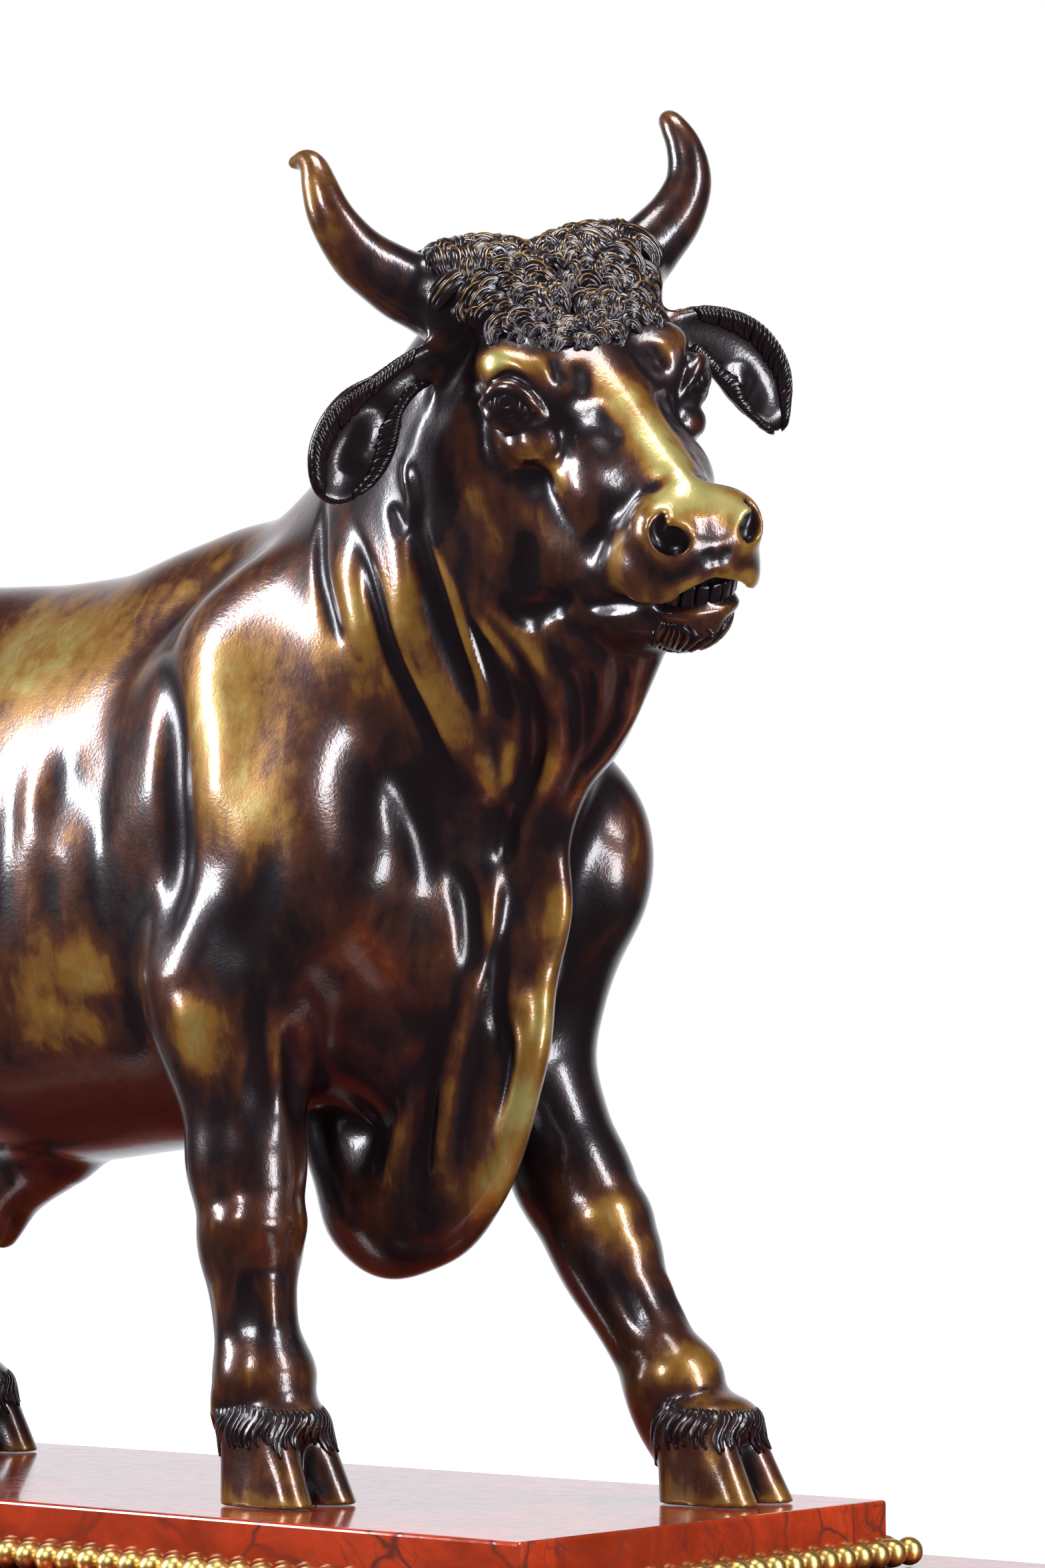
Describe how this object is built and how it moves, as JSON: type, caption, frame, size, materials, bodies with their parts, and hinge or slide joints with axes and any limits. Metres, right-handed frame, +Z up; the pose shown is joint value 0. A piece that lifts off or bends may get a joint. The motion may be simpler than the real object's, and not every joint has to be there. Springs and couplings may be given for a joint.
{
  "type": "bull sculpture",
  "caption": "Striding horned bull with turned head and hanging dewlap, on a long marble plinth with a bead moulding.",
  "frame": {"origin": "middle of the lower slab's underside", "axes": "+X the way the bull faces, +Y its left, +Z up"},
  "size_m": [0.59, 0.276, 0.5101],
  "materials": {
    "patinated_bronze": "dark brown lacquered patina, rubbed to olive gold on the high points, glossy",
    "red_marble": "polished red marble with fine dark veins",
    "gilt_bronze": "worn gilding, satin",
    "red_marble_base": "polished red marble with fine dark veins"
  },
  "bodies": {
    "root": {"bull": "patinated_bronze", "upper_slab": "red_marble", "bead_moulding": "gilt_bronze", "lower_slab": "red_marble_base"}
  },
  "joints": []
}
